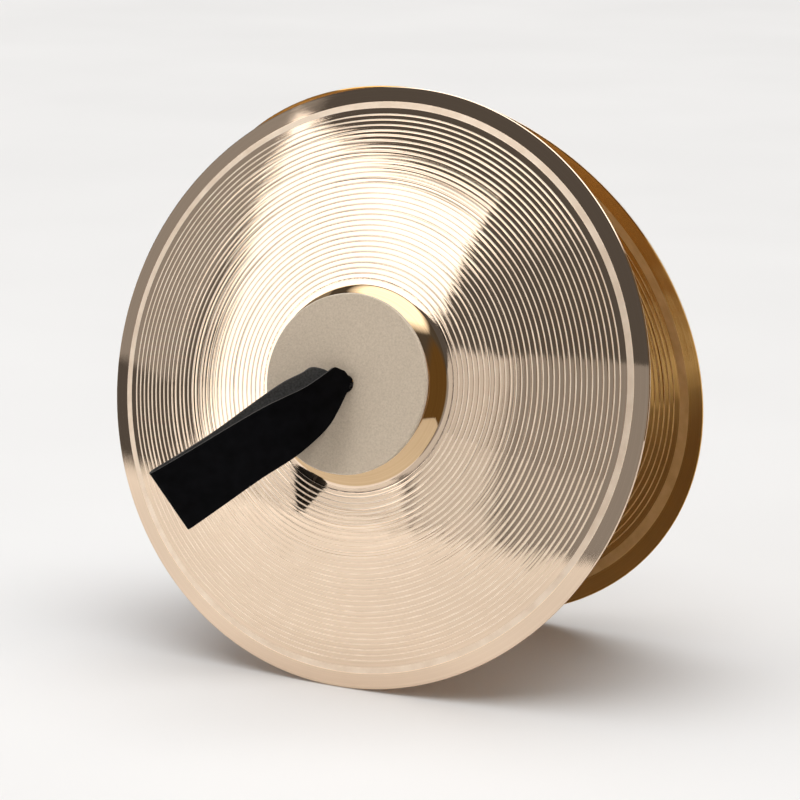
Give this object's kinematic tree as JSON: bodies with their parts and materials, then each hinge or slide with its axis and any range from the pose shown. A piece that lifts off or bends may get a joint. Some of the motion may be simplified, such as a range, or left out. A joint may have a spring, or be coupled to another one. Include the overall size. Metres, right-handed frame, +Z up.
{
  "type": "hand cymbals",
  "caption": "Pair of lathed bronze hand cymbals leaning together on their rims, each with a felt pad and a knotted leather hand strap.",
  "frame": {"origin": "centre of the bounding box, on the floor that both rims stand on", "axes": "+X along the line where the two rims lean together, +Y from the front cymbal to the rear one, +Z up"},
  "size_m": [0.3626, 0.3116, 0.3449],
  "materials": {
    "bronze": "mirror polished with fine satin lathe lines",
    "felt": "pressed wool felt, beige grey",
    "leather": "smooth black grain, grey flesh side"
  },
  "bodies": {
    "rear_plate": {"rear_cymbal": "bronze"},
    "rear_felt": {"rear_pad": "felt"},
    "rear_tie": {"rear_strap_neck": "leather", "rear_strap_knot": "leather", "rear_strap_tails": "leather"},
    "rear_hand_loop": {"rear_strap_loop": "leather"},
    "front_plate": {"front_cymbal": "bronze"},
    "front_felt": {"front_pad": "felt"},
    "front_tie": {"front_strap_neck": "leather", "front_strap_knot": "leather", "front_strap_tails": "leather"},
    "front_hand_loop": {"front_strap_loop": "leather"}
  },
  "joints": [
    {"name": "rear_pad_turn", "type": "hinge", "parent": "rear_plate", "child": "rear_felt", "pos_m": [-0.0033, 0.07773, 0.18084], "axis": [0, 0.9681, 0.2504], "continuous": true},
    {"name": "rear_strap_turn", "type": "hinge", "parent": "rear_plate", "child": "rear_tie", "pos_m": [-0.0033, 0.0758, 0.18034], "axis": [0, 0.9681, 0.2504], "continuous": true},
    {"name": "rear_strap_swing", "type": "hinge", "parent": "rear_tie", "child": "rear_hand_loop", "pos_m": [-0.0033, 0.08238, 0.18205], "axis": [0.7108, -0.1761, 0.681], "range_deg": [0, 106]},
    {"name": "lean", "type": "hinge", "parent": "rear_plate", "child": "front_plate", "pos_m": [0, 0, 0.34466], "axis": [-1, 0, 0], "range_deg": [-28.9, 60]},
    {"name": "front_pad_turn", "type": "hinge", "parent": "front_plate", "child": "front_felt", "pos_m": [0.0033, -0.07773, 0.18084], "axis": [0, -0.9681, 0.2504], "continuous": true},
    {"name": "front_strap_turn", "type": "hinge", "parent": "front_plate", "child": "front_tie", "pos_m": [0.0033, -0.0758, 0.18034], "axis": [0, -0.9681, 0.2504], "continuous": true},
    {"name": "front_strap_swing", "type": "hinge", "parent": "front_tie", "child": "front_hand_loop", "pos_m": [0.0033, -0.08238, 0.18205], "axis": [-0.7108, 0.1761, 0.681], "range_deg": [0, 106]}
  ]
}
